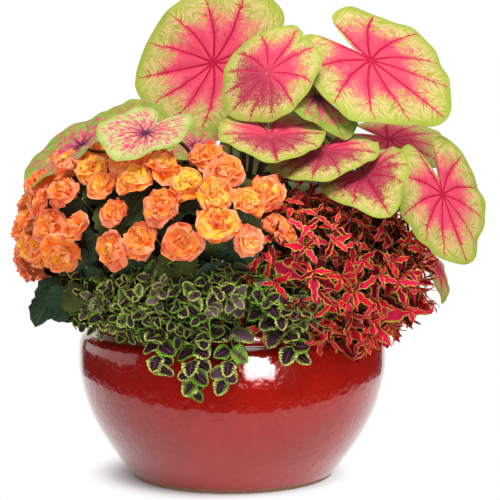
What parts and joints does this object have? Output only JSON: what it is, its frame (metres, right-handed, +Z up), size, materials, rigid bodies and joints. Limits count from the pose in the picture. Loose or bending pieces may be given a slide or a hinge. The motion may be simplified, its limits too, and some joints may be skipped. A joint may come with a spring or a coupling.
{
  "type": "potted plant",
  "caption": "Glazed round-bellied bowl pot planted with mounding coleus, double-flowered begonia and large heart-shaped caladium leaves.",
  "frame": {"origin": "centre of the pot's flat base, on the pot's axis", "axes": "+Z up along the pot's axis, -Y towards the front of the planting, +X to its right seen from the front"},
  "size_m": [0.6908, 0.6455, 0.7386],
  "materials": {
    "oxblood_glaze": "gloss",
    "potting_mix": "rough",
    "caladium_leaf": "satin",
    "begonia_leaf": "satin",
    "begonia_petal": "satin",
    "purple_coleus_leaf": "matte",
    "red_coleus_leaf": "matte"
  },
  "bodies": {
    "root": {"pot": "oxblood_glaze", "potting_soil": "potting_mix", "caladium_leaf_01": "caladium_leaf", "caladium_leaf_02": "caladium_leaf", "caladium_leaf_03": "caladium_leaf", "caladium_leaf_04": "caladium_leaf", "caladium_leaf_05": "caladium_leaf", "caladium_leaf_06": "caladium_leaf", "caladium_leaf_07": "caladium_leaf", "caladium_leaf_08": "caladium_leaf", "caladium_leaf_09": "caladium_leaf", "caladium_leaf_10": "caladium_leaf", "caladium_leaf_11": "caladium_leaf", "caladium_leaf_12": "caladium_leaf", "caladium_leaf_13": "caladium_leaf", "caladium_leaf_14": "caladium_leaf", "caladium_leaf_15": "caladium_leaf", "caladium_leaf_16": "caladium_leaf", "caladium_leaf_17": "caladium_leaf", "caladium_leaf_18": "caladium_leaf", "caladium_leaf_19": "caladium_leaf", "caladium_leaf_20": "caladium_leaf", "caladium_leaf_21": "caladium_leaf", "caladium_leaf_22": "caladium_leaf", "begonia_foliage": "begonia_leaf", "begonia_flower_01": "begonia_petal", "begonia_flower_02": "begonia_petal", "begonia_flower_03": "begonia_petal", "begonia_flower_04": "begonia_petal", "begonia_flower_05": "begonia_petal", "begonia_flower_06": "begonia_petal", "begonia_flower_07": "begonia_petal", "begonia_flower_08": "begonia_petal", "begonia_flower_09": "begonia_petal", "begonia_flower_10": "begonia_petal", "begonia_flower_11": "begonia_petal", "begonia_flower_12": "begonia_petal", "begonia_flower_13": "begonia_petal", "begonia_flower_14": "begonia_petal", "purple_coleus_foliage": "purple_coleus_leaf", "purple_coleus_foliage_back": "purple_coleus_leaf", "purple_coleus_trail_1": "purple_coleus_leaf", "purple_coleus_trail_2": "purple_coleus_leaf", "purple_coleus_trail_3": "purple_coleus_leaf", "purple_coleus_trail_4": "purple_coleus_leaf", "red_coleus_foliage": "red_coleus_leaf", "red_coleus_trail_1": "red_coleus_leaf", "red_coleus_trail_2": "red_coleus_leaf", "red_coleus_trail_3": "red_coleus_leaf"}
  },
  "joints": []
}
